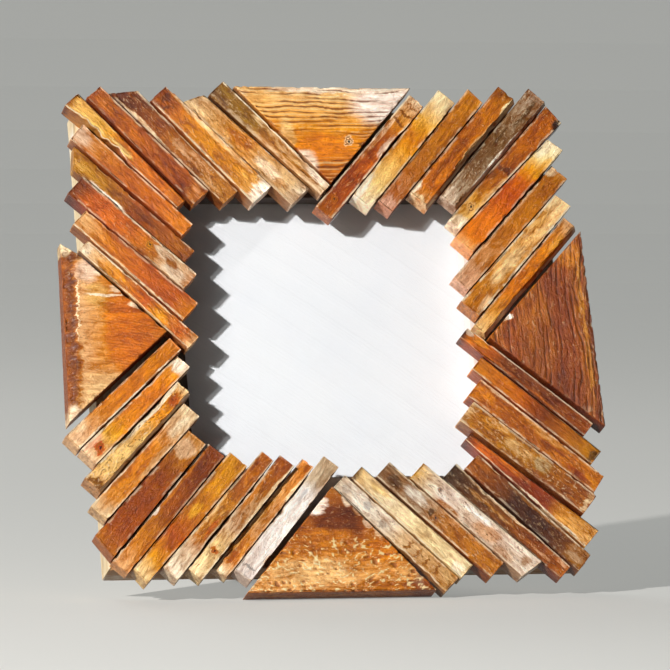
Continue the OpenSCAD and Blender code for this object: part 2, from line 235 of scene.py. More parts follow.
pale_pine = ("EFD9B0", "DDBB86", "B48A55")
# The bottom rail takes darker pine tones as painted shade.
painted_shade_pine = ("BE8E5E", "94663A", "5E3A1E")
# The lip round the opening is painted: pale as painted light where the key lights it, dark as painted shade
# where it lies in shadow.
painted_light_lip, painted_shade_lip = "E9E2D8", "3A2C22"
rails = {"top": (to_right, pale_pine, painted_shade_lip), "right": (to_top, pale_pine, painted_light_lip),
         "bottom": (to_right, painted_shade_pine, painted_light_lip), "left": (to_top, pale_pine, painted_shade_lip)}
half_opening = min(abs(laid_flat(v.co).y) for v in blank("top_rail").verts)
lip_mm = 1.2
planed = 0.00012
for seed, (side, (run, pine, lip)) in enumerate(rails.items()):
    rail = blank(side + "_rail")
    ease_edges(rail, 0.0006)
    rule_across(rail, run, 0.004)
    mark_fibre(rail, run.cross(to_viewer), run, to_viewer)
    inside = rail.verts.layers.float.new("inside")
    for v in rail.verts:
        flat = laid_flat(v.co)
        v[inside] = float(max(abs(flat.x), abs(flat.y)) < half_opening + lip_mm)
        v.co -= v.normal * planed * (1 + noise.noise(v.co * 160))
    wood = pine_finish(side + "_rail_pine", seed * 7.0, *pine, lip)
    even_shading(fit(rail, side + "_rail_wood", wood, "frame", side + "_rail"))

# Glass pane.
# A square of 2 mm window glass with its cut edges ground dull. It lies on the ledge of the rails.


def on_piece(tree):
    """A point's own place on the finished piece, in metres."""
    return lay("TexCoord", {}, tree).outputs["Object"]


clear, tree, shader = new_finish("clear_glass", Base_Color=stain("F4FAFA"), IOR=1.45, Alpha=0.12)
smears = figure(on_piece(tree), (0.02, 0.02, 0.02), 3, detail=5)[0]
tree.links.new(ranged(smears, 0.4, 0.75, 0.02, 0.12), shader.inputs["Roughness"])
fit_plain("glass_pane", "window_glass", clear, "frame", 0.0003, steps=1)

# Picture card.
# Plain white card cut to the rebate, left blank. It lies behind the glass.

paper, tree, shader = new_finish("white_card", Roughness=0.85)
place = on_piece(tree)
pulp = figure(place, (0.0009, 0.0009, 0.0009), 1, detail=4)[0]
cloud = figure(place, (0.03, 0.03, 0.03), 2, detail=2)[0]
white = tones(cloud, {0.3: "F2F3F6", 0.7: "F7F7F8"})
coat(shader, tinted(white, "E4E4E6", pulp, 0.5, 0.8, 0.15), None, pulp, 0.00003, 0.5)
fit_plain("photo_card", "white_card", paper, "frame", 0.0002, steps=1)

# Back board.
# Brown hardboard, smooth behind, with the pressed speckle of its fibres. The turn buttons hold it in.

board, tree, shader = new_finish("brown_hardboard")
place = on_piece(tree)
flecks = figure(place, (0.0012, 0.0012, 0.0012), 4, detail=5, roughness=0.7)[0]
stains = figure(place, (0.02, 0.02, 0.02), 6, detail=4)[0]
brown = tones(flecks, {0.3: "3F2A1A", 0.5: "6B4A30", 0.7: "8E6B47"})
brown = tinted(brown, "553722", stains, 0.4, 0.7, 0.4)
coat(shader, brown, ranged(flecks, 0.3, 0.7, 0.7, 0.45), flecks, 0.00006, 0.6)
fit_plain("back_board", "brown_hardboard", board, "frame", 0.0004)

# Slats of the mosaic.
# 43 reclaimed offcuts, split and sawn by hand, each of another board: oiled, stained, weathered or painted.
# They are glued to the rails in four fans. Their sharp edges have chipped and the fibre stands proud.


def lines_apart(point, a, b):
    """How far a point lies to the left of the line from a to b, in the flat picture."""
    run = (b - a).normalized()
    return (point.y - a.y) * run.x - (point.x - a.x) * run.y


class Offcut:
    """An offcut's own measure: its height, and the corners of its glued face from the inside outwards."""

    def __init__(self, node, outward):
        self.solid = blank(node)
        points = [laid_flat(v.co) for v in self.solid.verts]
        self.floor = min(p.z for p in points)
        self.rise = max(p.z for p in points) - self.floor
        self.outward = outward
        self.clockwise = Vector((outward.y, -outward.x, 0))
        self.glued = sorted((p for p in points if p.z < self.floor + 0.1), key=lambda p: p.dot(outward))

    def clockwise_pair(self, corners):
        return sorted(corners, key=lambda p: p.dot(self.clockwise))


class Slat(Offcut):
    """Places on a slat are shares of its width, length and height."""

    def __init__(self, node, outward):
        super().__init__(node, outward)
        self.inner = self.clockwise_pair(self.glued[:2])
        self.outer = self.clockwise_pair(self.glued[-2:])
        self.foot = (self.inner[0] + self.inner[1]) / 2
        head = (self.outer[0] + self.outer[1]) / 2
        self.run = (head - self.foot).normalized()
        self.side = Vector((self.run.y, -self.run.x, 0))
        self.length = (head - self.foot).length
        self.width = ((self.inner[1] - self.inner[0]).length + (self.outer[1] - self.outer[0]).length) / 2

    def place(self, p):
        first = -lines_apart(p, self.inner[0], self.outer[0])
        second = lines_apart(p, self.inner[1], self.outer[1])
        start = lines_apart(p, self.inner[0], self.inner[1])
        end = -lines_apart(p, self.outer[0], self.outer[1])
        return Vector((first / (first + second), start / (start + end), (p.z - self.floor) / self.rise))

    def fibre(self, p):
        offset = p - self.foot
        return Vector((offset.dot(self.side), offset.dot(self.run), p.z - self.floor))


def smooth(value):
    value = min(1, max(0, value))
    return value * value * (3 - 2 * value)


def uneven(x, y, z, shift):
    """Soft unevenness from -1 to 1."""
    return noise.noise(Vector((x, y, z)) + shift)


def ragged(x, y, z, shift, finer, steps):
    """Broken unevenness: each step is finer times as fine as the one before."""
    return noise.fractal(Vector((x, y, z)) + shift, 1, finer, steps)


def point_layers(solid, *shares):
    """Room on the points for their place on the piece, their place in its fibre, and the shares named."""
    shares = [solid.verts.layers.float.new(name) for name in shares]
    return [solid.verts.layers.float_vector.new(name) for name in ("place", "fibre")] + shares


coarse = 1.0
slat_steps = (0.0009, 0.0006, 0.0011)
fibre_mm, hollow_mm, lump_mm = 0.05, 0.14, 0.12
chip_mm, chip_reach_mm = 0.5, 1.5


def weather_slat(slat, seed, dips, waney):
    """Wears a slat inwards: raised fibre, a hollow or tipped face, chipped long edges and a waney edge."""
    solid = slat.solid
    across = to_right * slat.side.x + to_top * slat.side.y
    along = to_right * slat.run.x + to_top * slat.run.y
    ease_edges(solid, 0.00025)
    for way, step in zip((along, across, to_viewer), slat_steps):
        rule_across(solid, way, step * coarse)
    solid.normal_update()
    places, fibres, worn, front = point_layers(solid, "worn", "front")
    shift = Vector((seed * 7.1, seed * 3.3, seed * 5.7))
    for v in solid.verts:
        p = laid_flat(v.co)
        where = slat.place(p)
        grain = slat.fibre(p)
        facing = smooth(v.normal.dot(to_viewer) * 1.3)
        v[places], v[fibres], v[front] = where, grain, facing
        ridge = uneven(grain.x * 1.3, grain.y * 0.08, grain.z * 1.3, shift)
        wave = uneven(grain.x * 0.2, grain.y * 0.07, grain.z * 0.15, shift)
        lump = uneven(grain.x * 0.75, grain.y * 0.28, grain.z * 0.5, -shift)
        depth = fibre_mm * (1 + ridge) + hollow_mm * (1 + wave) + lump_mm * (1 + lump)
        depth *= 0.1 + 0.9 * facing
        edge_gap = min(where.x, 1 - where.x) * slat.width
        end_gap = min(where.y, 1 - where.y) * slat.length
        to_edge = math.hypot(min(edge_gap, end_gap), (1 - where.z) * slat.rise)
        chip = ragged(where.x * 2, grain.y * 0.19, 0, shift, 2.3, 4)
        bite = smooth((chip - 0.2) * 2.6) * smooth(1 - to_edge / chip_reach_mm)
        v[worn] = bite
        move = v.normal * -(depth + chip_mm * bite)
        drop = dips[0] * (1 - where.x) + dips[1] * where.x
        move -= to_viewer * drop * smooth(where.z * 1.2)
        for edge, start, end, cut in waney:
            share = where.x if edge == 0 else 1 - where.x
            if start < where.y < end and share < 0.5:
                span = end - start
                swell = smooth(4 * (where.y - start) / span) * smooth(4 * (end - where.y) / span)
                wander = 0.55 + 0.8 * ragged(grain.y * 0.17, edge * 9, 0, shift, 2.2, 3)
                pull = cut * swell * max(0, wander) * smooth(1 - share * 2) * (0.35 + 0.65 * where.z)
                move += across * (pull if edge == 0 else -pull)
                v[worn] = max(v[worn], 0.5 * smooth(pull) * smooth(1 - share * 6))
        v.co += move / mm_per_m
    return solid


def from_centre(spot, s, t, half_s, half_t):
    """How far a spot lies from the centre of a mark, with 1 at the mark's rim."""
    around = lay("Mapping", {0: spot, 1: (s, t, 0), 3: (half_s, half_t, 1)}, vector_type="TEXTURE")
    return lay("VectorMath", {0: around.outputs[0]}, operation="LENGTH").outputs["Value"]


def offcut_wood(name, seed, size, run, marks=(), knots=(), pale=(0.5, 0.5), streak=0.6, pits=0.1):
    """Old wood: a run of tones from the inner end to the outer one, marks, knots and pale long edges, worn
    and painted as highlight, with painted shade on the sides and painted light on the inner end faces.
    """
    wood, tree, shader = new_finish(name, Coat_Weight=0.28, Coat_Roughness=0.3)
    place, fibre = written(tree, "place", "Vector"), written(tree, "fibre", "Vector")
    worn, front = written(tree, "worn"), written(tree, "front")
    wander = figure(fibre, (3.2, 9, 5), seed, detail=5, roughness=0.65)[1]
    reach = (3.6 / size[0], 9 / max(size[1], 45))
    shift = reckon("MULTIPLY_ADD", wander, (*reach, 0), (-reach[0] / 2, -reach[1] / 2, 0), kind="VectorMath")
    level = reckon("MULTIPLY", place, (1, 1, 0), kind="VectorMath")
    spot = reckon("ADD", level, shift, kind="VectorMath")
    colour = tones(lay("SeparateXYZ", {0: spot}).outputs[1], run)
    for *patch, code, strength in marks:
        colour = tinted(colour, code, from_centre(spot, *patch), 1.15, 0.6, strength)
    cloud = figure(fibre, (5, 13, 6), seed + 61, detail=3, distortion=0.5)[0]
    blotch = figure(fibre, (2.4, 6.5, 3), seed + 11, detail=5, roughness=0.66, distortion=0.8)[0]
    band = figure(fibre, (1.2, 16, 3), seed + 17, detail=3, distortion=0.4)[0]
    hair = figure(fibre, (0.4, 7, 0.4), seed + 23, detail=4)[0]
    for grain, amount, shades in (
            (cloud, 0.3 + 0.7 * streak, {0.34: (0.68, 0.56, 0.45), 0.48: (1, 1, 1), 0.64: (1.25, 1.3, 1.3)}),
            (blotch, 0.2 + 0.8 * streak, {0.33: (0.42, 0.27, 0.15), 0.42: (0.74, 0.58, 0.42),
                                          0.48: (1.02, 0.97, 0.88), 0.56: (1.2, 1.22, 1.12),
                                          0.66: (1.5, 1.65, 1.65)}),
            (band, 0.2 + 0.45 * streak, {0.34: (0.55, 0.38, 0.24), 0.45: (0.92, 0.86, 0.76),
                                         0.55: (1.1, 1.08, 1.02), 0.67: (1.35, 1.45, 1.4)}),
            (hair, 0.4, {0.3: (0.5, 0.36, 0.26), 0.43: (0.92, 0.88, 0.84), 0.6: (1.03, 1.03, 1.03),
                         0.72: (1.18, 1.2, 1.22)})):
        colour = mixed(amount, colour, tones(grain, shades), "MULTIPLY")
    pit = figure(fibre, (1.1, 2.2, 1.1), seed + 31, detail=3, roughness=0.7, distortion=1.2)[0]
    colour = tinted(colour, "5E3216", pit, 0.44, 0.34, 0.1 + 0.8 * pits)
    colour = tinted(colour, "E2CCA8", pit, 0.56, 0.66, 0.15 + 0.6 * pits)
    for s, t, radius, code in knots:
        away = from_centre(spot, s, t, radius / size[0], radius / size[1])
        rings = reckon("SINE", reckon("MULTIPLY", away, 13.0))
        knot = tones(rings, {0: code, 0.7: "8A5630"})
        colour = mixed(ranged(away, 1.1, 0.7, 0, 0.85), colour, knot)
        colour = tinted(colour, "2A1208", away, 0.38, 0.2)
    richer = ranged(lay("RGBToBW", {0: colour}).outputs[0], 0.08, 0.4, 1.36, 1.13)
    colour = lay("HueSaturation", {"Hue": 0.489, "Saturation": richer, "Value": 1.15,
                                   "Color": colour}).outputs[0]
    frayed = figure(fibre, (1.6, 5, 3), seed + 41, detail=4)[0]
    spell = figure(fibre, (9, 8, 9), seed + 47, detail=2)[0]
    across, along = lay("SeparateXYZ", {0: place}).outputs[:2]
    # Pale rims along the long edges: partly worn bare wood, partly a painted highlight on the rounded edges.
    from_edge = reckon("ADD", across, reckon("MULTIPLY_ADD", frayed, 0.16, -0.08))
    for rim, amount in zip(((0.13, 0.05), (0.87, 0.95)), pale):
        worn_and_highlit_rim = ranged(from_edge, *rim)
        for share in (ranged(front, 0.1, 0.45), ranged(spell, 0.49 - 0.2 * amount, 0.57 - 0.2 * amount),
                      ranged(frayed, 0.36, 0.5, 0.05, 1), 0.3 + 0.7 * amount):
            worn_and_highlit_rim = reckon("MULTIPLY", worn_and_highlit_rim, share)
        colour = mixed(worn_and_highlit_rim, colour, stain("F9E4BE"))
    fresh = reckon("MULTIPLY", ranged(worn, 0.25, 0.7), ranged(frayed, 0.35, 0.6, 0.1, 0.6))
    colour = mixed(fresh, colour, stain("EBC690"))
    # Painted shade: faces turned away from the front are darkened, as the shade in the gaps between offcuts.
    # The outer end faces go a little darker and browner. The inner end faces are painted lighter and cooler,
    # as painted light thrown back from the white card.
    side_shade_and_end_light = tones(front, {0.05: (0.45, 0.3, 0.19), 0.4: (1, 1, 1)})
    side_shade_and_end_light = mixed(ranged(along, 0.985, 0.998, 0, 0.8), side_shade_and_end_light, [0.9, 0.84, 0.76, 1])
    side_shade_and_end_light = mixed(ranged(along, 0.015, 0.002, 0, 0.9), side_shade_and_end_light, [1.1, 1.1, 1.15, 1])
    colour = mixed(1.0, colour, side_shade_and_end_light, "MULTIPLY")
    height = reckon("MULTIPLY_ADD", hair, 0.4, reckon("ADD", blotch, pit))
    coat(shader, colour, ranged(pit, 0.3, 0.7, 0.58, 0.3), height, 0.0008, 0.8)
    return wood


def glue_slat(node, outward, seed, dips=(0.2, 0.2), waney=(), **look):
    slat = Slat(node, outward)
    wood = offcut_wood(node + "_wood", seed, (slat.width, slat.length), **look)
    fit(weather_slat(slat, seed, dips, waney), node + "_offcut", wood, "frame", node)


def look(run, marks=(), **more):
    return dict(run=run, marks=marks, **more)


# Each slat's look, clockwise round its fan. Places are shares of the slat: across it from its first edge to
# its second, and along it from its inner end (0) to its outer end (1).
# run: tones from the inner end to the outer one. marks: across, along, half width, half length, colour and
# strength. knots: across, along, radius in mm, colour. pale: how far each long edge is pale, worn and
# painted
# as a highlight. dips: mm that the face drops at each long edge. waney: edge, from, to, mm. streak, pits:
# how strong they are.
LOOKS = {"top_left": [
    look({0: "E8C79A", .12: "BE6A2C", .3: "DCA04C", .42: "BC6420", .6: "CE8634", .8: "D4A468", 1: "E8D0AC"},
         [(.45, .72, .3, .16, "D89C58", .6), (.5, .98, .5, .06, "F3E8D0", .9),
          (.05, .5, .1, .5, "F4DDB0", .8), (.95, .7, .08, .3, "F7EBD0", .9)], pale=(.8, .6), dips=(.1, .3),
         pits=.5),
    look({0: "BC7C3A", .15: "AE5E1E", .4: "BA6822", .7: "C47E3A", .95: "D8AC78"},
         [(.05, .5, .08, .5, "F0D0A0", .7), (.9, .5, .15, .5, "A85A20", .5)], pale=(.9, .2), dips=(.3, 0),
         streak=.3),
    look({0: "C8A07C", .15: "D9BC98", .3: "B88A60", .42: "C27A34", .6: "BC681E", .85: "BE6A28",
          .96: "7A4420"},
         [(.3, .12, .35, .1, "F0E2CC", .9), (.7, .26, .25, .08, "EBDAC0", .9),
          (.6, .18, .2, .06, "8A5C3A", .8), (.2, .36, .3, .05, "9A6034", .7)],
         knots=[(.6, .37, 1.6, "D8A050")], pale=(.4, .6), dips=(.2, .3), streak=.5, pits=.4),
    look({0: "9A642E", .3: "965A2A", .55: "8E5022", .8: "AC8042", 1: "BE985C"},
         [(.05, .74, .2, .16, "FBF2E4", 1), (.6, .5, .2, .3, "6E3E18", .6)], pale=(.1, .1), dips=(.1, .1)),
    look({0: "CE8436", .3: "BC6E24", .6: "B46A24", .85: "C49060", 1: "D8B494"},
         [(.1, .5, .12, .5, "B06424", .7), (.5, .95, .4, .08, "CFB49A", .7)], pale=(.2, .4), dips=(.3, 0),
         streak=.35),
    look({0: "C8823A", .2: "CC7A28", .45: "C87828", .6: "D89848", .75: "E8C070", .95: "E8BE78", 1: "8A5A30"},
         [(.3, .55, .2, .12, "F4DC9A", .9), (.2, .8, .2, .14, "F0CE84", .8),
          (.9, .75, .12, .2, "F2D49A", .7)], waney=[(0, .42, .98, 2.4)], pale=(.9, .6), streak=.5, pits=.25),
    look({0: "B47C4A", .15: "9C5822", .4: "A05A1A", .7: "A86220", .9: "A0663A", 1: "9A603C"},
         [(.4, .05, .5, .06, "D9A880", .8), (.7, .3, .2, .2, "8A4A1C", .6), (.4, .9, .2, .1, "B8805A", .8)],
         knots=[(.45, .88, .9, "A86A3A")], pale=(.2, .5), dips=(.1, .3), streak=.7, pits=.15),
    look({0: "AE8254", .25: "A47444", .5: "9E6C42", .75: "8A5630", .92: "6E4222", 1: "7A4A28"},
         [(.6, .45, .3, .2, "C8A07C", .7), (.1, .75, .1, .2, "F0DCBC", .9), (.3, .2, .2, .1, "D4AC80", .6)],
         dips=(0, .2), streak=.8, pits=.55),
    look({0: "F0E0C8", .08: "D8A868", .3: "CC9048", .6: "D0954E", .8: "B87430", .92: "9A5A24", 1: "8A4E20"},
         [(.5, .03, .6, .06, "F4EADC", .9), (.9, .55, .12, .4, "F0D0A0", .7),
          (.6, .95, .3, .03, "5A3014", .8), (.3, .88, .3, .02, "5A3014", .7)], pale=(.9, .3), pits=.3),
    look({0: "D8C8B0", .12: "D4B488", .3: "CEA878", .5: "D09C60", .75: "D8AC72", 1: "E0C8A0"},
         [(.97, .4, .1, .42, "FFF8EE", 1), (.4, .3, .25, .12, "F0DCC0", .7),
          (.5, .6, .3, .12, "C0702C", .45), (.3, .18, .2, .06, "A87848", .7)], pale=(.2, .9), dips=(0, .3),
         pits=.45),
    look({0: "EAD8B8", .25: "DDBE90", .5: "C8A070", .65: "8F7044", 1: "725630"},
         [(.3, .25, .15, .25, "9A6834", .8), (.7, .12, .3, .12, "FAF1E4", .9),
          (.8, .6, .2, .12, "E8D0A4", .8), (.9, .4, .12, .2, "F4E2C4", .8)], pale=(.2, .9), dips=(.3, .2),
         streak=.7, pits=.4),
], "top_right": [
    look({0: "A4704A", .12: "8E4A1A", .3: "9C5216", .5: "B0601C", .7: "B46E2A", .85: "D4A468", 1: "EBD4B4"},
         [(.8, .62, .25, .1, "F4E8DA", .5), (.2, .65, .15, .25, "F0DCC0", .5),
          (.5, .5, .5, .03, "7A3C14", .7), (.5, .8, .5, .012, "6A3A1A", .8),
          (.5, .87, .5, .012, "6A3A1A", .8), (.5, .94, .5, .01, "7A4A28", .7),
          (.5, .3, .5, .02, "7A3C14", .6)], knots=[(.45, .12, 2, "C07A3A")], waney=[(1, .45, .8, .8)],
         pale=(.8, .6), dips=(.3, .3), streak=.7, pits=.35),
    look({0: "F2E4C4", .2: "F0D490", .42: "E8B468", .6: "DC9440", .75: "E8B868", .92: "F4E2B4"},
         [(.15, .1, .2, .15, "FBF5E6", .7), (.08, .5, .1, .12, "B88A5A", .6)], pale=(.5, .3), dips=(.1, .3),
         streak=.25),
    look({0: "C09074", .2: "B4805C", .5: "BA8450", .75: "C48A4C", 1: "CC9454"},
         [(.9, .5, .15, .5, "96643C", .5), (.5, .04, .5, .04, "DDB49C", .7)], pale=(.3, .2), dips=(0, .3),
         streak=.3),
    look({0: "D8A878", .12: "B8702C", .35: "C07A34", .6: "B87430", .85: "C08040", 1: "8A5A2C"},
         [(.4, .38, .16, .25, "8A4E1E", .8), (.9, .9, .15, .1, "F8E6B8", .95),
          (.85, .55, .12, .25, "E8C898", .7), (.1, .05, .12, .08, "F6E6CC", .9),
          (.5, .01, .6, .02, "F0D8B0", .8)], waney=[(1, .3, .8, 1)], pale=(.3, .9), dips=(.2, .4), pits=.3),
    look({0: "B09C88", .15: "94806C", .3: "7E6A58", .6: "75604C", .8: "8F7A66", 1: "A08A78"},
         [(.93, .45, .12, .28, "F4ECE0", .9), (.6, .85, .12, .12, "4A3828", .8),
          (.3, .05, .4, .06, "CDB8A4", .7), (.4, .6, .08, .1, "4A3828", .7)], pale=(.2, .8), dips=(.1, .4),
         streak=.7, pits=.8),
    look({0: "EEDCB8", .1: "DDB878", .22: "C89858", .35: "B07848", .5: "9A6034", .65: "A86830", .9: "B06C30",
          1: "8A5020"},
         [(.5, .03, .6, .06, "F6E8CC", .9), (.9, .3, .15, .2, "E0BC88", .6),
          (.95, .97, .3, .05, "1E120C", .95), (.5, .5, .6, .02, "5A3018", .8),
          (.2, .42, .2, .04, "5A3018", .6)], knots=[(.5, .17, 2.2, "E4BC7C")], pale=(.3, .6), dips=(.3, .1),
         pits=.3),
    look({0: "F0B880", .08: "E4924C", .3: "DC8028", .5: "BE5E10", .65: "CA701C", .75: "ECB058",
          .85: "F8E0A0", 1: "FBEEC8"},
         [(.15, .93, .4, .1, "FFF4D0", .8), (.85, .8, .2, .12, "ECB458", .6)], pale=(.3, .2), dips=(.2, .1),
         streak=.2),
    look({0: "D8B090", .2: "C49468", .5: "B8804C", .75: "B47C44", .9: "A46C38", 1: "C09464"},
         [(.1, .5, .1, .4, "E4BC90", .7), (.2, .97, .3, .05, "E8CFA8", .8)], waney=[(0, .75, .98, .8)],
         pale=(.6, .2), streak=.35),
    look({0: "B07C4C", .12: "BC8448", .35: "D4A468", .6: "E0B478", .85: "E8C490", 1: "F0D8A8"},
         [(.5, .4, .3, .2, "F0D8A8", .7), (.3, .8, .3, .1, "C89858", .7), (.8, .1, .2, .08, "E8C8A0", .8)],
         pale=(.9, .9), dips=(.2, .3), pits=.35),
    look({0: "E0BC88", .15: "D4A060", .35: "CC8034", .6: "DA8E3E", .8: "E09A4A", 1: "F0D0A4"},
         [(.95, .22, .14, .22, "FFF2E0", .95), (.6, .82, .25, .08, "E8B870", .7),
          (.3, .5, .2, .06, "9A5420", .6)], waney=[(1, .1, .5, .6)], pale=(.5, .8), dips=(.2, .4), pits=.35),
], "bottom_right": [
    look({0: "4A2C1A", .05: "C8792C", .2: "A85C22", .32: "6E3C1A", .6: "784522", 1: "8A5028"},
         [(.3, .12, .3, .08, "E8A858", .7), (.2, .02, .3, .03, "E8DCCC", .8),
          (.8, .5, .1, .4, "B06C34", .6)], pale=(.7, .2), dips=(.2, .1), pits=.3),
    look({0: "D08A38", .25: "C87A28", .4: "BE6C20", .55: "7A4018", .7: "A8682A", 1: "BC883E"},
         [(.03, .5, .07, .5, "F4D8A8", .9), (.6, .97, .4, .03, "4A3412", .8)], pale=(1, .6), dips=(.4, 0),
         streak=.3),
    look({0: "C88238", .3: "AC6A2C", .6: "AE6C2C", .8: "B06E2A", 1: "BC7E3E"},
         [(.2, .55, .2, .2, "DDB07A", .7), (.7, .85, .15, .1, "9A4E1C", .7),
          (.05, .2, .1, .2, "F0DCC0", .8)], dips=(.3, .2), streak=.7, pits=.4),
    look({0: "D4B88E", .08: "B47C3A", .35: "AA7A3C", .6: "A27038", .8: "8E5828", 1: "986236"},
         [(.5, .42, .3, .12, "DDBC8A", .8), (.4, .6, .3, .08, "B0A080", .7),
          (.5, .98, .5, .03, "E4CCA8", .8), (.2, .2, .2, .1, "DDB47C", .6)], pale=(.4, .4), streak=.7,
         pits=.8),
    look({0: "5A3014", .08: "CC7024", .3: "AC581A", .45: "763612", .65: "843E16", .78: "D4A060",
          1: "E0B478"},
         [(.95, .7, .08, .25, "FBF0DC", .95), (.4, .3, .2, .2, "DD8C34", .6)],
         knots=[(.4, .07, 1.2, "C0702C")], pale=(.3, .9), dips=(0, .3), streak=.5, pits=.4),
    look({0: "9E683E", .2: "80502C", .38: "3E2212", .65: "442612", .82: "684226", 1: "906A46"},
         [(.1, .6, .1, .35, "A87C54", .5), (.5, .92, .4, .08, "B89878", .7)], pale=(.5, .3), dips=(.1, .1),
         streak=.5, pits=.3),
    look({0: "3F342C", .2: "5E4636", .5: "7A5034", .8: "8E5A3A", 1: "A06C48"},
         [(.1, .4, .1, .3, "E8D4B4", .9), (.5, .35, .1, .2, "C8A478", .7), (.9, .6, .1, .3, "4A3020", .6),
          (.2, .95, .2, .05, "D0A888", .7), (.6, .8, .1, .1, "D0A888", .6)], waney=[(0, .1, .7, 1)],
         pale=(.7, .3), dips=(.4, .1), streak=.8, pits=.5),
    look({0: "D0A864", .1: "E4D2B4", .25: "EEE4DC", .45: "E0CDB8", .7: "E6D4C4", 1: "EEE0D0"},
         [(.95, .3, .25, .12, "B88858", .85), (.6, .62, .4, .12, "C89C74", .85),
          (.2, .5, .2, .12, "F8F4F0", .9), (.8, .8, .2, .1, "C8A480", .7),
          (.4, .92, .3, .04, "A88460", .7)], knots=[(.45, .2, 1.2, "9A8A7C")], pale=(.4, .3), dips=(.2, .4),
         streak=.5, pits=.7),
    look({0: "806A56", .2: "967C64", .35: "A89078", .5: "B0845A", .75: "B47E4A", 1: "BC864C"},
         [(.4, .28, .3, .1, "DDD4C8", .9), (.6, .12, .3, .06, "4A3A2E", .8),
          (.2, .62, .2, .15, "C8986A", .7), (.5, .42, .25, .03, "3A2C22", .8)],
         knots=[(.6, .48, 1.5, "8A6A50")], pale=(.5, .6), dips=(.3, .2), pits=.6),
    look({0: "5A4430", .04: "E0C490", .3: "EEDFBC", .6: "F0DDAC", 1: "F4E4B8"},
         [(.4, .2, .2, .1, "D9BC80", .7), (.1, .4, .08, .3, "C8AC80", .7),
          (.7, .93, .3, .06, "FCF4DC", .8)], pale=(.4, .8), dips=(0, .4), streak=.4, pits=.2),
    look({0: "CDBBA4", .15: "E2D8CC", .45: "E2D4C0", .55: "D8BC94", .75: "D0AC7C", 1: "D4B07C"},
         [(.4, .25, .3, .04, "B0A8A4", .8), (.6, .4, .3, .04, "A09488", .7),
          (.5, .08, .4, .03, "A8988A", .7), (.5, .62, .4, .012, "8A5C30", .8),
          (.5, .7, .4, .012, "8A5C30", .8), (.5, .78, .4, .012, "8A5C30", .8),
          (.5, .86, .4, .012, "8A5C30", .8)], waney=[(1, .55, .95, .6)], pale=(.4, .6), dips=(.3, .3),
         streak=.5, pits=.6),
], "bottom_left": [
    look({0: "B8A080", .18: "C8B498", .28: "F0EAE4", .6: "F2ECE6", .9: "ECE2DA", 1: "E4DAD4"},
         [(.3, .12, .3, .1, "9A8468", .7), (.6, .3, .15, .06, "B8B4B4", .6),
          (.5, .93, .4, .012, "8A8480", .8)], waney=[(1, .45, .6, 1.8), (1, .15, .42, .6)], pale=(.2, .2),
         dips=(.1, .3), streak=.15, pits=.12),
    look({0: "DC9C60", .3: "C89460", .55: "C49C74", .75: "CC9458", .9: "CC945A", 1: "F0E0C0"},
         [(.5, .86, .4, .06, "9A4C1C", .5), (.8, .5, .15, .4, "DDBC84", .6),
          (.1, .2, .1, .2, "F0DCB4", .8)], dips=(0, .3), pits=.25),
    look({0: "8E5020", .15: "A06432", .4: "B08C68", .6: "C0A080", .75: "E0C48E", 1: "F0DDB4"},
         [(.8, .3, .15, .2, "C88A50", .7), (.1, .3, .12, .3, "F0DCB4", .8)], knots=[(.5, .8, 1.6, "C06830")],
         pale=(.8, .6), dips=(.1, .2), pits=.5),
    look({0: "A8682C", .3: "B87C40", .5: "C9A068", .7: "B07A48", .88: "DDCCB4", 1: "E8DAC6"},
         [(.3, .6, .2, .1, "B05C28", .7), (.9, .5, .1, .4, "E0C090", .7)], waney=[(0, .4, .8, .6)],
         pale=(.5, .8), dips=(.2, .3), streak=.7, pits=.35),
    look({0: "C08C44", .25: "CC9240", .45: "B87828", .65: "AC5C1E", .85: "D09644", 1: "F0D8A4"},
         [(.5, .45, .2, .06, "E8BC68", .7), (.3, .72, .3, .05, "9A5018", .6),
          (.92, .3, .1, .25, "7A4A1C", .6)], pale=(.3, .3), dips=(.1, .2), streak=.4, pits=.15),
    look({0: "7A4420", .3: "80481E", .5: "8A5024", .65: "B07840", .85: "CC945C", 1: "DDB080"},
         [(.95, .57, .12, .05, "F8F0E8", 1), (.9, .3, .12, .3, "BC8048", .6)], pale=(.1, .6), dips=(0, .3),
         streak=.5),
    look({0: "BC9264", .2: "A06C3A", .38: "8C4E1C", .65: "8E4C1A", .85: "96521E", 1: "AC784E"},
         [(.6, .12, .5, .08, "DDC09C", .7), (.5, .5, .2, .2, "8A4A1C", .5)], pale=(.2, .2), dips=(.1, .2),
         streak=.35),
    look({0: "E0CCA8", .15: "D4B48C", .35: "C88C50", .6: "BC7A38", .85: "CC9458", 1: "E8D0A8"},
         [(.4, .15, .3, .1, "F0E2C4", .8), (.2, .4, .15, .3, "DDBC90", .6)], pale=(.5, .7), streak=.5,
         pits=.2),
    look({0: "E8D0A0", .12: "D8984C", .3: "D8984C", .5: "E8C888", .85: "E8C888", 1: "D8B080"},
         [(.4, .12, .3, .05, "B05A28", .8), (.85, .3, .15, .3, "FBF0D4", .9),
          (.5, .97, .5, .03, "5A3418", .8), (.5, .5, .15, .1, "C89048", .6)],
         waney=[(1, .1, .7, 1), (0, .2, .9, .6)], pale=(.9, .9), dips=(.4, .3), streak=.35, pits=1),
    look({0: "F6EAD0", .12: "E0A058", .3: "D88A38", .6: "D89038", .78: "E8BC68", 1: "F0D4B0"},
         [(.5, .04, .6, .06, "FAF0DC", .9), (.1, .5, .1, .4, "C88440", .6), (.9, .9, .3, .1, "EEBCA0", .7)],
         knots=[(.4, .9, 2.4, "B04A24")], waney=[(1, .2, .6, .6)], pale=(.6, .8), dips=(.2, .3), streak=.4,
         pits=.2),
    look({0: "D09460", .15: "D08C44", .5: "CC8440", .75: "DCA468", 1: "F0D0A8"},
         [(.03, .5, .06, .45, "FCF4E4", .95), (.9, .9, .3, .08, "F4DCB4", .7)], pale=(1, .3), dips=(.3, .1),
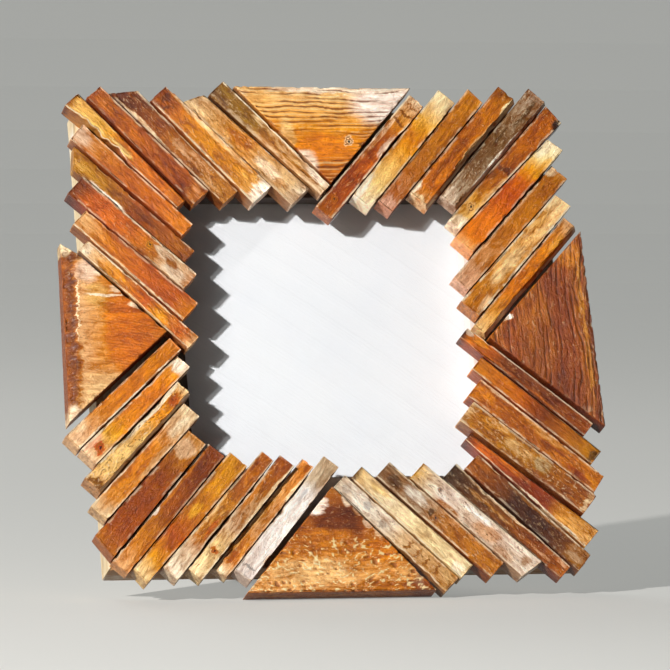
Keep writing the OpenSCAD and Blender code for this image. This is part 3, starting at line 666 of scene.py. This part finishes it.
         streak=.3),
]}
fan_way = {"top_left": (-1, 1), "top_right": (1, 1), "bottom_right": (1, -1), "bottom_left": (-1, -1)}
for fan, (corner, looks) in enumerate(LOOKS.items()):
    for number, own_look in enumerate(looks, 1):
        node = f"{corner}_slat_{number}"
        glue_slat(node, Vector((*fan_way[corner], 0)), 20.0 * fan + 1.7 * number, **own_look)

# Triangles of the mosaic.
# Four thick corner offcuts, glued in the middle of each side between two fans. Sun and rain have washed the
# soft wood out between the growth rings. The left one keeps a strip of bark.


class Triangle(Offcut):
    """Places on a triangle are shares along its outer side, from its apex to it, and of its height."""

    def __init__(self, node, outward, grain_outward):
        super().__init__(node, outward)
        self.grain_outward = grain_outward
        self.apex = self.glued[0]
        self.corners = self.clockwise_pair(self.glued[-2:])
        self.width = (self.corners[1] - self.corners[0]).length
        self.height = (self.corners[0] - self.apex).dot(outward)

    def place(self, p):
        run = (self.corners[1] - self.corners[0]).normalized()
        along = (p - self.corners[0]).dot(run) / self.width
        side_gap = -lines_apart(p, *self.corners)
        apex_gap = -lines_apart(self.apex, *self.corners)
        return Vector((along, 1 - side_gap / apex_gap, (p.z - self.floor) / self.rise))

    def fibre(self, p):
        offset = p - self.apex
        across, along = offset.dot(self.outward), offset.dot(self.clockwise)
        return Vector((along, across, p.z - self.floor) if self.grain_outward else
                      (across, along, p.z - self.floor))


def washed_rings(x, y, shift, spacing, swing):
    """Long wavy growth rings: how deep the soft wood is washed out, and the painted highlight on the hard
    wood.
    """
    swerve = swing * uneven(x / 30, y / 11, 0, shift)
    swerve += 0.28 * swing * uneven(x / 8, y / 4, 4, shift)
    turn = y / spacing + swerve
    wave = 0.5 + 0.5 * math.sin(2 * math.pi * turn)
    fade = smooth(0.62 + 1.5 * uneven(x / 15, math.floor(turn + 0.25) * 2.7, 8, shift))
    return smooth((wave - 0.6) * 3) * fade, smooth((0.45 - wave) * 2.5) * (0.3 + 0.7 * fade)


def worm_tracks(x, y, shift, size):
    """Short crossing tracks where beetles have eaten the sapwood."""
    swirl = uneven(x / size, y / size, 0, shift)
    cross = uneven(x / size * 0.8, y / size * 1.3, 6, shift)
    return (smooth(1 - abs(swirl) * 6) * smooth(0.75 + cross * 2),
            smooth(abs(swirl) * 4 - 1) * smooth(0.4 + cross * 2))


step_across, step_along, step_deep = 0.0004, 0.0007, 0.0015
dish_mm, corner_chip_mm, corner_chip_reach_mm = 0.15, 0.6, 1.8


def weather_triangle(tri, seed, pattern):
    """Wears a triangle inwards: its pattern of lines, a hollow face and chipped edges."""
    solid = tri.solid
    outward = to_right * tri.outward.x + to_top * tri.outward.y
    clockwise = to_right * tri.clockwise.x + to_top * tri.clockwise.y
    steps = (step_across, step_along) if tri.grain_outward else (step_along, step_across)
    ease_edges(solid, 0.0004)
    for way, step in zip((clockwise, outward, to_viewer), (*steps, step_deep)):
        rule_across(solid, way, step * coarse)
    solid.normal_update()
    places, fibres, worn, front, groove, crest = point_layers(solid, "worn", "front", "groove", "crest")
    shift = Vector((seed * 2.3, seed * 4.1, seed * 1.3))
    for v in solid.verts:
        p = laid_flat(v.co)
        where = tri.place(p)
        grain = tri.fibre(p)
        offset = p - tri.apex
        facing = smooth(v.normal.dot(to_viewer) * 1.5)
        v[places], v[fibres], v[front] = where, grain, facing
        # ridge: how strongly a painted highlight lies on the hard wood here.
        line, ridge, depth = pattern(offset.dot(tri.clockwise), offset.dot(tri.outward), where, shift)
        v[groove] = line * facing
        v[crest] = ridge * facing
        wave = uneven(grain.x * 0.12, grain.y * 0.12, grain.z * 0.1, shift)
        sink = (dish_mm * (1 + wave) + depth * line) * (0.08 + 0.92 * facing)
        left_gap = abs(lines_apart(p, tri.apex, tri.corners[0]))
        right_gap = abs(lines_apart(p, tri.apex, tri.corners[1]))
        outer_gap = (1 - where.y) * tri.height
        to_edge = math.hypot(min(left_gap, right_gap, outer_gap), (1 - where.z) * tri.rise)
        chip = ragged(grain.x * 0.3, grain.y * 0.3, 2, shift, 2, 3)
        bite = smooth((chip - 0.05) * 2.2) * smooth(1 - to_edge / corner_chip_reach_mm)
        v[worn] = bite
        v.co -= v.normal * (sink + corner_chip_mm * bite) / mm_per_m
    return solid


# Each pattern gives, at a point in mm from the apex, how deep its lines are, how strongly a painted
# highlight lies on the hard wood between them, and the depth in mm of a full line.


def top_pattern(x, y, where, shift):
    rings = washed_rings(x, y, shift, 1.75, 1.3)
    calm = smooth(1.8 - 1.6 * math.hypot((where.x - 0.47) * 4.2, (where.y - 0.4) * 5))
    return rings[0] * (1 - 0.7 * calm), rings[1] * (1 - 0.6 * calm), 0.6


def right_pattern(x, y, where, shift):
    rings = washed_rings(x, y, shift, 1.9, 1.5)
    rough = smooth((where.y - 0.86) * 18)
    return rings[0] * (0.75 + 0.25 * rough), rings[1] * (0.4 + 0.6 * rough), 0.5


def bottom_pattern(x, y, where, shift):
    sapwood = smooth((where.y - 0.34) * 4 + 0.5 * abs(where.x - 0.5))
    tracks = worm_tracks(x, y, shift, 2.6)
    return tracks[1] * sapwood, tracks[0] * sapwood, 0.7


def left_pattern(x, y, where, shift):
    bark = smooth((where.y - 0.93 + 0.07 * where.x) * 30)
    rings = washed_rings(y, x - 0.2 * y, shift, 1.15, 0.8)
    crust = ragged(x / 3.2, y / 2.4, 1, shift, 2.1, 3)
    return (rings[0] * (1 - bark) * 0.55 + smooth(0.1 + 1.6 * crust) * bark,
            rings[1] * (1 - bark) * 0.6, 0.35 + 0.5 * bark)


def triangle_wood(name, seed, size, line, line_strength, glow, **look):
    """Offcut wood whose washed out lines have gone dark, with a painted highlight on the hard wood between
    them.
    """
    wood = offcut_wood(name, seed, size, pale=(0, 0), **look)
    tree = wood.node_tree
    shader = tree.nodes["Principled BSDF"]
    shader.inputs["Coat Weight"].default_value = 0.1
    under = shader.inputs["Base Color"].links[0].from_socket
    # Painted highlight: the hard wood between the lines is screened towards pale cream.
    bright = ranged(written(tree, "crest"), 0.2, 0.9, 0, glow)
    under = mixed(bright, under, stain("FFDCA0"), "SCREEN")
    dark = tinted(under, line, written(tree, "groove"), 0.2, 0.8, line_strength)
    tree.links.new(dark, shader.inputs["Base Color"])
    return wood


# Each triangle's way outwards, whether its grain runs that way, its pattern, and its look as for the slats.
# line and line_strength: the lines' colour and strength. glow: how strong the painted highlight
# on the hard wood is.
TRIANGLE_LOOKS = {
    "top": ((0, 1), False, top_pattern, look(
        {0: "9A5A24", .12: "C07830", .3: "DC9038", .48: "E29C44", .62: "EDB468", .8: "F2C480", 1: "F5D49C"},
        [(.87, .82, .24, .26, "FFF4EC", .9), (.62, .98, .5, .06, "FDF0DC", .8),
         (.1, .9, .12, .12, "D8A868", .6), (.47, .38, .16, .13, "DE8A2C", .7),
         (.36, .2, .09, .16, "F8E8D4", .85), (.28, .5, .05, .2, "F0D094", .7)],
        knots=[(.62, .43, 2.2, "F8DEB0")], streak=.35, pits=.05, line="7A3C10", line_strength=.85,
        glow=.42)),
    "right": ((1, 0), False, right_pattern, look(
        {0: "B07C54", .2: "945A38", .45: "844C2C", .65: "844C2A", .8: "8C522E", .88: "9C663C", .95: "8A5028",
         1: "764626"},
        [(.5, .45, .3, .2, "AC7444", .6), (.43, .17, .02, .07, "FFF4E4", .95),
         (.44, .1, .08, .07, "D0A078", .6), (.1, .85, .1, .1, "C88C50", .7),
         (.82, .6, .13, .22, "7A4420", .6), (.25, .4, .08, .14, "C08C58", .6),
         (.5, .93, .4, .03, "D4A468", .7)], streak=.5, pits=.3, line="42200E", line_strength=.65, glow=.06)),
    "bottom": ((0, -1), False, bottom_pattern, look(
        {0: "C8A078", .08: "98643A", .2: "8A5428", .38: "965C2C", .5: "B87C44", .78: "D09A60", .96: "DCAE78",
         1: "CC9058"},
        [(.5, .3, .16, .14, "5E2E10", .85), (.6, .17, .07, .1, "FFF0E4", .95),
         (.25, .6, .1, .12, "CC8030", .6), (.2, .94, .25, .05, "9A5420", .6),
         (.65, .8, .25, .12, "F0D09A", .6), (.43, .14, .035, .06, "F8E8D0", .9),
         (.38, .24, .03, .06, "F4DCC0", .85), (.33, .34, .03, .07, "F4DCC0", .85),
         (.28, .45, .03, .07, "F0D4B0", .8), (.05, .95, .1, .1, "8A4A1C", .7)], streak=.55, pits=.3,
        line="8A4C1E", line_strength=.75, glow=.95)),
    "left": ((-1, 0), True, left_pattern, look(
        {0: "CC8E58", .15: "C0722C", .4: "C0722C", .65: "D0985C", .84: "DEB484", .88: "A87448",
         .92: "6E4426", 1: "966440"},
        [(.83, .77, .07, .12, "E8CDB4", .95), (.7, .68, .07, .14, "DDB878", .7),
         (.12, .6, .18, .3, "E8C896", .85), (.5, .45, .2, .18, "CC7828", .65),
         (.7, .6, .01, .22, "FFF4DC", .95), (.65, .3, .025, .08, "FFEED0", .8),
         (.74, .48, .025, .08, "FFEED0", .8), (.83, .64, .025, .06, "FFEED0", .8),
         (.63, .87, .2, .012, "F8E4C0", .9), (.92, .87, .03, .08, "5E3618", .85),
         (.97, .96, .05, .1, "F4E6C0", .9), (.03, .95, .06, .1, "FBEBCB", .8)], streak=.4, pits=.08,
        line="6A3412", line_strength=.6, glow=.3)),
}
for k, (side, (outward, grain_outward, pattern, own_look)) in enumerate(TRIANGLE_LOOKS.items()):
    seed = 101.0 + 6 * k
    tri = Triangle(side + "_triangle", Vector((*outward, 0)), grain_outward)
    wood = triangle_wood(side + "_triangle_wood", seed, (tri.width, tri.height), **own_look)
    solid = weather_triangle(tri, seed, pattern)
    fit(solid, side + "_triangle_offcut", wood, "frame", side + "_triangle")

# Hinge of the easel leg.
# Two stamped brass leaves on one pin, the fixed one riveted to the hardboard and the moving one to the leg.
# The brass has dulled in clouds, with fine rubbed lines across it.


def brass_finish(name, seed, bright, dull):
    """Dulled brass: tarnish in clouds, and fine rubbed lines across the piece."""
    brass, tree, shader = new_finish(name, Metallic=1.0)
    place = on_piece(tree)
    bloom = figure(place, (0.006, 0.006, 0.006), seed, detail=5, roughness=0.65)[0]
    tarnish = tones(bloom, {0.35: bright, 0.55: bright, 0.75: dull})
    rub = figure(place, (0.0004, 0.006, 0.006), seed + 3, detail=3)[0]
    colour = tinted(tarnish, "F0D890", rub, 0.6, 0.75, 0.35)
    coat(shader, colour, ranged(bloom, 0.35, 0.75, 0.28, 0.55), rub, 0.00002, 0.5)
    return brass


hinge_brass = brass_finish("hinge_brass", 2.0, "C9A24A", "8A6A34")
for node, body in (("hinge_plate", "frame"), ("hinge_leaf", "leg")):
    fit_plain(node, node + "_brass", hinge_brass, body, 0.00018, sharper_than=40)

# Easel leg.
# A tapered slip of pine, stained brown, its edges sanded round. Two rivets hold it to the moving leaf.

leg_wood, tree, shader = new_finish("stained_leg_pine", Coat_Weight=0.15, Coat_Roughness=0.35)
fibre = written(tree, "fibre", "Vector")
growth = figure(fibre, (4, 70, 6), 50, detail=2, distortion=0.8)[0]
brown = tones(growth, {0.3: "6E4424", 0.45: "9A6B40", 0.58: "94643A", 0.7: "6A4020"})
hair = figure(fibre, (0.4, 9, 0.4), 53, detail=4)[0]
brown = tinted(brown, "3E2412", hair, 0.44, 0.3, 0.8)
rubbed = figure(fibre, (12, 18, 12), 57, detail=4)[0]
brown = tinted(brown, "B98C5E", rubbed, 0.55, 0.75, 0.5)
coat(shader, brown, ranged(hair, 0.3, 0.65, 0.68, 0.42), hair, 0.0002, 0.6)
hinge_at = Vector(turning["leg_hinge"]["pos_m"])
foot_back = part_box("easel_leg")[1].y
leg_way = (Vector((hinge_at.x, foot_back, 0)) - hinge_at).normalized()
leg = blank("easel_leg")
ease_edges(leg, 0.0008, steps=3)
rule_across(leg, leg_way, 0.005)
mark_fibre(leg, to_right, leg_way, leg_way.cross(to_right))
even_shading(fit(leg, "stained_leg", leg_wood, "leg", "easel_leg"))

# Turn buttons and their screws.
# Two waisted brass buttons, stamped from strip, that turn over the hardboard's edge on round-head screws.

button_brass = brass_finish("turn_button_brass", 7.0, "C49B45", "7E6030")
for side in ("left", "right"):
    fit_plain(side + "_turn_button", side + "_button_brass", button_brass, side + "_button", 0.00025,
              sharper_than=40)
screw_brass = brass_finish("screw_brass", 12.0, "D0AC58", "8A6C38")
fit_plain("turn_button_screws", "round_head_screws", screw_brass, "frame", 0.00012, steps=1, sharper_than=40)

# Floor, light and camera.
# A plain pale sweep, a small hard key from the left, a weak fill, a soft light behind, and the camera of the
# photograph. Seen by the camera or in a reflection, the sweep is paler than the light that it throws back.

sweep_half_width = 24
sweep_profile = [(-24, 0), (-3, 0), (-1, 0), (1, 0), (2, 0), (2.7, 0.1), (3, 0.5), (3.1, 1.2), (3.1, 4)]
sweep = bmesh.new()
edge = [sweep.verts.new((-sweep_half_width, y, z)) for y, z in sweep_profile]
wire = [sweep.edges.new(pair) for pair in zip(edge, edge[1:])]
wide = bmesh.ops.extrude_edge_only(sweep, edges=wire)["geom"]
bmesh.ops.translate(sweep, vec=(2 * sweep_half_width, 0, 0),
                    verts=[v for v in wide if isinstance(v, bmesh.types.BMVert)])
bmesh.ops.recalc_face_normals(sweep, faces=sweep.faces)
sweep_mesh = bpy.data.meshes.new("pale_sweep")
sweep.to_mesh(sweep_mesh)
sweep.free()
floor = bpy.data.objects.new("pale_sweep", sweep_mesh)
bpy.context.scene.collection.objects.link(floor)
pale_paper, tree, shader = new_finish("pale_sweep", Roughness=0.9, Emission_Color=stain("DDE0DC"))
ray = lay("LightPath", {}, tree).outputs
seen = reckon("MAXIMUM", ray["Is Camera Ray"], ray["Is Glossy Ray"])
seen = reckon("MAXIMUM", seen, ray["Is Transmission Ray"])
tree.links.new(ranged(seen, 0, 1, 0, 0.38), shader.inputs["Emission Strength"])
tree.links.new(mixed(seen, stain("8A8884"), stain("B8B5AF")), shader.inputs["Base Color"])
sweep_mesh.materials.append(pale_paper)
bend = floor.modifiers.new("bend", "SUBSURF")
bend.levels = bend.render_levels = 3


def lamp(name, at, size, power):
    """A round soft lamp, turned to the frame: its size in metres and its power in watts."""
    light = bpy.data.lights.new(name, "AREA")
    light.shape = "DISK"
    light.size = size
    light.energy = power
    holder = bpy.data.objects.new(name, light)
    bpy.context.scene.collection.objects.link(holder)
    holder.location = at
    holder.rotation_euler = (back_middle - at).to_track_quat("-Z", "Y").to_euler()


key_way = (-0.97 * to_right + 0.13 * to_top + to_viewer).normalized()
lamp("key", back_middle + key_way * 2.0, size=0.06, power=52)
lamp("fill", Vector((0.9, -1.6, 1.4)), size=1.4, power=0.4)
lamp("back_fill", Vector((-0.6, 1.7, 1.3)), size=1.2, power=10)
studio = bpy.data.worlds.new("studio")
bpy.context.scene.world = studio
studio.use_nodes = True
room_light = studio.node_tree.nodes["Background"].inputs
room_light["Color"].default_value = (0.93, 0.95, 1.0, 1)
room_light["Strength"].default_value = 0.02

camera_yaw, camera_pitch, camera_roll = math.radians(13.83), math.radians(2.08), math.radians(0.23)
camera_away = 2.176
photo_px, focal_px, shift_right_px, shift_up_px = 670, 5610, 14.4, 12.9
aim_way = Vector((math.sin(camera_yaw) * math.cos(camera_pitch),
                  math.cos(camera_yaw) * math.cos(camera_pitch), -math.sin(camera_pitch)))
camera_data = bpy.data.cameras.new("camera")
camera_data.sensor_width = 36
camera_data.lens = camera_data.sensor_width * focal_px / photo_px
camera_data.shift_x = shift_right_px / photo_px
camera_data.shift_y = shift_up_px / photo_px
camera = bpy.data.objects.new("camera", camera_data)
bpy.context.scene.collection.objects.link(camera)
camera.location = back_middle - aim_way * camera_away
turn = aim_way.to_track_quat("-Z", "Y").to_matrix()
camera.rotation_euler = (turn @ turn.Rotation(camera_roll, 3, "Z")).to_euler()
bpy.context.scene.camera = camera
bpy.context.scene.view_settings.view_transform = "Standard"
